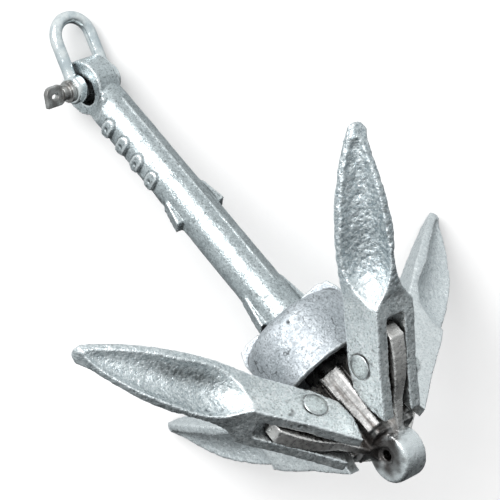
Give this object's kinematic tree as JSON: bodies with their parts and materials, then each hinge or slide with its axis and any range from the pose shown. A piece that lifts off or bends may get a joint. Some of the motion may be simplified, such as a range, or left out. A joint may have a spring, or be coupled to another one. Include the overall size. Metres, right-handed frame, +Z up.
{
  "type": "folding grapnel anchor",
  "caption": "Folding grapnel anchor: round shank, four fluke arms pivoted at the crown, sliding bell collar and a shackle with screw pin.",
  "frame": {"origin": "centre of the bounding box's underside, on the surface the open anchor lies on", "axes": "+Z up with the anchor lying on two fluke tips and its eye; +Y level, from the crown towards the shackle"},
  "size_m": [0.1652, 0.2566, 0.1509],
  "materials": {
    "galvanised_casting": "hot-dip galvanised, rough cast",
    "rivet_steel": "hot-dip galvanised",
    "shackle_steel": "bright zinc plated"
  },
  "bodies": {
    "shank": {"shank": "galvanised_casting"},
    "collar": {"collar": "galvanised_casting"},
    "shackle": {"shackle_bow": "shackle_steel", "shackle_pin": "shackle_steel"},
    "fluke_front_left": {"fluke_front_left": "galvanised_casting", "rivet_front_left": "rivet_steel"},
    "fluke_front_right": {"fluke_front_right": "galvanised_casting", "rivet_front_right": "rivet_steel"},
    "fluke_back_right": {"fluke_back_right": "galvanised_casting", "rivet_back_right": "rivet_steel"},
    "fluke_back_left": {"fluke_back_left": "galvanised_casting", "rivet_back_left": "rivet_steel"}
  },
  "joints": [
    {"name": "collar_slide", "type": "slide", "parent": "shank", "child": "collar", "axis": [0, 0.8918, -0.4524], "range_m": [0, 0.12]},
    {"name": "fluke_front_left_fold", "type": "hinge", "parent": "shank", "child": "fluke_front_left", "pos_m": [-0.02246, -0.07621, 0.12397], "axis": [-0.7071, -0.3199, -0.6306], "range_deg": [0, 51.57]},
    {"name": "fluke_front_right_fold", "type": "hinge", "parent": "shank", "child": "fluke_front_right", "pos_m": [0.01996, -0.07621, 0.12397], "axis": [-0.7071, 0.3199, 0.6306], "range_deg": [0, 51.57]},
    {"name": "fluke_back_right_fold", "type": "hinge", "parent": "shank", "child": "fluke_back_right", "pos_m": [0.01996, -0.0954, 0.08613], "axis": [0.7071, 0.3199, 0.6306], "range_deg": [0, 51.57]},
    {"name": "fluke_back_left_fold", "type": "hinge", "parent": "shank", "child": "fluke_back_left", "pos_m": [-0.02246, -0.0954, 0.08613], "axis": [0.7071, -0.3199, -0.6306], "range_deg": [0, 51.57]},
    {"name": "shackle_swing", "type": "hinge", "parent": "shank", "child": "shackle", "pos_m": [-0.00125, 0.09362, 0.01402], "axis": [-0.7071, 0.3199, 0.6306], "range_deg": [-62, 118]}
  ],
  "couplings": [
    {"joint": "fluke_front_left_fold", "follows": "collar_slide", "rad_per_m": 7.5},
    {"joint": "fluke_front_right_fold", "follows": "collar_slide", "rad_per_m": 7.5},
    {"joint": "fluke_back_right_fold", "follows": "collar_slide", "rad_per_m": 7.5},
    {"joint": "fluke_back_left_fold", "follows": "collar_slide", "rad_per_m": 7.5}
  ]
}
